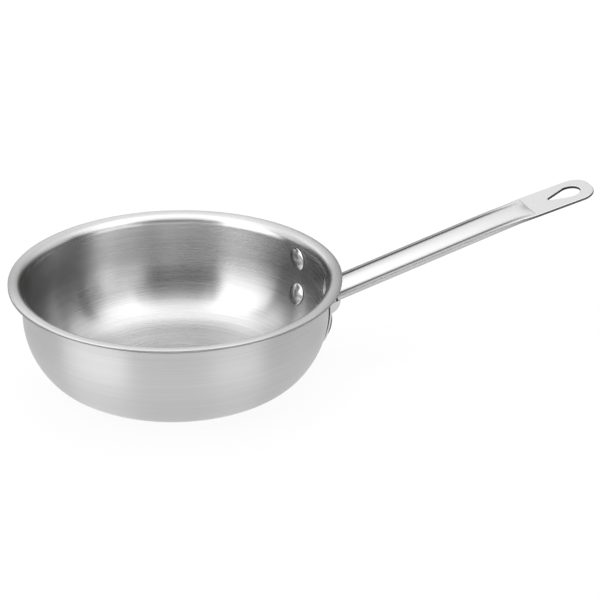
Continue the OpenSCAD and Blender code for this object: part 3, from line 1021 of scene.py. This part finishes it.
print("points in a rivet's section:", len(rivet_line))

# %% Turn one rivet
# The dome's rim and the side of the set head are made rough and darkened: the darkening
# is painted shade, a dark contact line at the wall and a dark outline round the head.
RIM_DULL_SHADE, RIM_BAND, RIM_WIDTH, SIDE_WIDTH = 0.9, 0.25, 0.9, 0.4
rivet_blank = run_tree(section_mesh("rivet_section", rivet_line), lathe, {
    "Material": rivet_steel, "Path Radius": 20 * MM, "Steps": 72, "Weld": 1e-6})
rim_dull_shade = rivet_blank.attributes.new("dull_and_shade", "FLOAT", "POINT")
for vertex in rivet_blank.vertices:
    r, h = vertex.co.xy.length / MM, vertex.co.z / MM
    on_dome_rim = r > DOME_R - RIM_WIDTH and RIM_BAND - DOME_EDGE < h + WALL_T < HAIR
    on_set_side = r > SET_R - SIDE_WIDTH and h > PLATE_T - HAIR
    if on_dome_rim or on_set_side:
        rim_dull_shade.data[vertex.index].value = RIM_DULL_SHADE
print("points on a rivet:", len(rivet_blank.vertices))

# %% Geometry Nodes: set a piece on the wall
on_bowl, given, end = new_tree("set_on_wall", {
    "Azimuth": ("Float", 0.0), "Wall Radius": ("Float", 0.1),
    "Arc Radius": ("Float", 1.0), "Arc Angle": ("Float", 1.57),
    "Arc Centre Radius": ("Float", 0.0), "Arc Centre Height": ("Float", 0.0),
    "Material": ("Material", None)})
position = add_node(on_bowl, "GeometryNodeInputPosition").outputs[0]
across, up, out = add_node(on_bowl, "ShaderNodeSeparateXYZ", {0: position}).outputs
around = maths(on_bowl, "ADD", given["Azimuth"],
               maths(on_bowl, "DIVIDE", across, given["Wall Radius"]))
along = maths(on_bowl, "ADD", given["Arc Angle"],
              maths(on_bowl, "DIVIDE", up, given["Arc Radius"]))
out_by = maths(on_bowl, "ADD", given["Arc Radius"], out)
reach = maths(on_bowl, "ADD", given["Arc Centre Radius"],
              maths(on_bowl, "MULTIPLY", out_by, maths(on_bowl, "SINE", along)))
height = maths(on_bowl, "SUBTRACT", given["Arc Centre Height"],
               maths(on_bowl, "MULTIPLY", out_by, maths(on_bowl, "COSINE", along)))
place = add_node(on_bowl, "ShaderNodeCombineXYZ", {
    0: maths(on_bowl, "MULTIPLY", reach, maths(on_bowl, "COSINE", around)),
    1: maths(on_bowl, "MULTIPLY", reach, maths(on_bowl, "SINE", around)), 2: height})
bent = add_node(on_bowl, "GeometryNodeSetPosition",
                {"Geometry": given["Geometry"], "Position": place.outputs[0]})
close_tree(on_bowl, bent.outputs[0], given["Material"], end)
print("nodes in the wall tree:", len(on_bowl.nodes))

# %% Set the four rivets
STRAIGHT_R = 5000.0
for name, (z, offset) in RIVETS.items():
    upright_wall = z >= UPRIGHT_H
    arc_r = STRAIGHT_R if upright_wall else SIDE_R
    mesh = run_tree(rivet_blank.copy(), on_bowl, {
        "Material": rivet_steel, "Azimuth": math.asin(offset / wall_radius(z)),
        "Wall Radius": wall_radius(z) * MM, "Arc Radius": arc_r * MM,
        "Arc Angle": math.radians(wall_turn(z)),
        "Arc Centre Radius": (WALL_R - arc_r) * MM,
        "Arc Centre Height": (z if upright_wall else UPRIGHT_H) * MM})
    open_edges = tidy_mesh(mesh, sharp=50)
    place_piece("rivet_" + name + "_set", mesh, "rivet_" + name)
    print(name, "faces", len(mesh.polygons), "open edges", open_edges)

# %% [markdown]
# ## The bracket's plate
# The bracket is pressed from one sheet: a plate with rounded corners that lies on
# the bowl's wall, and a hood that stands out under the grip. Most of it is behind
# the bowl. A flat plate could be bent with a modifier, but the wall is upright
# above and an arc below. So the plate is drawn as rings that run inwards from its
# outline, and every point is set out to the wall's radius at its own height.

# %% Points on the plate
# PLATE_STEPS is how many points each of its four straight sides has.
PLATE_W, PLATE_FOOT, PLATE_DROP, PLATE_CORNER_R = 77.0, 22.0, 0.5, 9.0
PLATE_STEPS = (28, 14, 28, 14)
plate_head = BEND_Z - PLATE_DROP
plate_half_h = (plate_head - PLATE_FOOT) / 2
plate_middle = (plate_head + PLATE_FOOT) / 2


def on_plate(y, z, out):
    """A point at distance y from the middle and height z, out from the wall."""
    if z >= UPRIGHT_H:
        r = WALL_R + out
    else:
        r = SIDE_X + math.sqrt((SIDE_R + out) ** 2 - (UPRIGHT_H - z) ** 2)
    return Vector((math.sqrt(r * r - y * y), y, z))


def plate_ring(inset):
    """The plate's outline made smaller all round, always with the same points."""
    half_w, half_h = PLATE_W / 2 - inset, plate_half_h - inset
    r = max(PLATE_CORNER_R - inset, 0.0)
    bends = [arc((sy * (half_w - r), sz * (half_h - r)), r, angle, angle + 90, 11.25)
             for sy, sz, angle in ((1, 1, 0), (-1, 1, 90), (-1, -1, 180), (1, -1, 270))]
    points = []
    for bend, following, steps in zip(bends, bends[1:] + bends[:1], PLATE_STEPS):
        points += bend[:-1]
        points += [tuple(a + (b - a) * i / steps for a, b in zip(bend[-1], following[0]))
                   for i in range(steps)]
    return points


print("points round the plate:", len(plate_ring(0.0)))

# %% Make the plate
PLATE_EDGE_R, INNER_EDGE_R, SHADED_EDGE_BAND = 0.6, 1.0, 1.8
FACE_INSETS = [19.5, 16.0, 12.5, 9.0, 6.0, 3.5, 1.8]


def edge_levels(r):
    """The steps of a rounded edge, as (inset, height) pairs from face to side."""
    return [(r * (1 - math.sin(math.radians(a))), r * (1 - math.cos(math.radians(a))))
            for a in (0, 30, 60, 90)]


plate_levels = [(plate_half_h, 0.0)] + [(inset, 0.0) for inset in FACE_INSETS]
plate_levels += edge_levels(INNER_EDGE_R)
plate_levels += [(inset, PLATE_T - out)
                 for inset, out in edge_levels(PLATE_EDGE_R)[::-1]]
plate_levels += [(inset, PLATE_T) for inset in FACE_INSETS[::-1]]
plate_levels += [(plate_half_h, PLATE_T)]
plate = bmesh.new()
dull_shade_layer = plate.verts.layers.float.new("dull_and_shade")
plate_rings = []
for inset, out in plate_levels:
    ring = [plate.verts.new(on_plate(y, plate_middle + z, out))
            for y, z in plate_ring(inset)]
    for vertex in ring:
        # The plate's edge next to the wall is made rough and darkened: the darkening is
        # painted shade in the gap between plate and bowl.
        vertex[dull_shade_layer] = float(out < 0.9 * INNER_EDGE_R and inset < SHADED_EDGE_BAND)
    plate_rings.append(ring)
skin(plate, plate_rings)
bmesh.ops.remove_doubles(plate, verts=plate.verts, dist=1e-4)
plate_mesh = finished(plate, "plate")

# %% [markdown]
# ## The bracket's hood
# The hood has a rounded chin and is open at the top, where the grip closes it. It
# could be drawn as a bent sheet, but its inner and outer corners differ. It is
# simpler as a block with a smaller block taken out, trimmed at the bowl with a
# shape turned on the lathe, joined to the plate, and drilled for the rivets.

# %% The hood's side view
CHIN_R, HOOD_REACH, HOOD_EDGE_R, HOLLOW_EDGE_R, HOLLOW_LIFT = 9.2, 10.4, 1.6, 0.6, 6.0
hood_front = WALL_R + HOOD_REACH
hood_back = WALL_R - CHIN_R


def grip_under(x):
    """Height of the grip's lower edge at a distance from the bowl's axis."""
    return ROOT_H + (x - RIM_R) * math.tan(math.radians(GRIP_RISE))


chin_x, chin_z = hood_front - CHIN_R, grip_under(hood_front) - PLATE_T / 2


def side_view(shrink, lift):
    """The hood seen from its side, made smaller by shrink and its top raised."""
    front = hood_front - shrink
    return [(hood_back, chin_z - CHIN_R + shrink),
            *arc((chin_x, chin_z), CHIN_R - shrink, -90, 0, 7.5),
            (front, grip_under(front) + lift), (hood_back, grip_under(hood_back) + lift)]


def block_mesh(name, inset, half_w, round_r, lift):
    """A block with the hood's side view, its long edges rounded."""
    block = bmesh.new()
    bends = [(half_w - round_r * (1 - math.cos(math.radians(a))),
              round_r * (1 - math.sin(math.radians(a)))) for a in ROUND_ANGLES]
    slices = [(-y, step) for y, step in bends] + bends[::-1]
    rings = [[block.verts.new((x, y, z)) for x, z in side_view(inset + step, lift)]
             for y, step in slices]
    skin(block, rings)
    block.faces.new(rings[0])
    block.faces.new(rings[-1])
    return finished(block, name)


hood_mesh = block_mesh("hood", 0.0, GRIP_W / 2, HOOD_EDGE_R, 0.0)
hollow_mesh = block_mesh("hollow", PLATE_T, GRIP_W / 2 - PLATE_T, HOLLOW_EDGE_R,
                         HOLLOW_LIFT)
hood_mesh = cut_mesh(hood_mesh, hollow_mesh)

# %% Trim the hood and join it to the plate
# The hood is trimmed to the middle of the plate's sheet, so that the two overlap.
TRIM_FOOT, TRIM_TOP, TRIM_STEP = 5, 90, 2
trim_r = WALL_R + PLATE_T / 2
trim_line = [(0, TRIM_FOOT)]
trim_line += [(on_plate(0, z, PLATE_T / 2).x, z)
              for z in range(TRIM_FOOT, math.ceil(UPRIGHT_H), TRIM_STEP)]
trim_line += [(trim_r, UPRIGHT_H), (trim_r, TRIM_TOP), (0, TRIM_TOP)]
trim_mesh = run_tree(section_mesh("trim_section", trim_line), lathe,
                     {"Material": bracket_steel})
tidy_mesh(trim_mesh)
hood_mesh = cut_mesh(hood_mesh, trim_mesh)
bracket_mesh = cut_mesh(plate_mesh, hood_mesh, "UNION")
bracket_mesh = cut_mesh(bracket_mesh, bore_mesh)
bpy.data.objects.remove(bore_tool)
print("open edges on the bracket:", tidy_mesh(bracket_mesh))
finish_piece("bracket_pressed", bracket_mesh, bracket_steel, "handle_bracket")
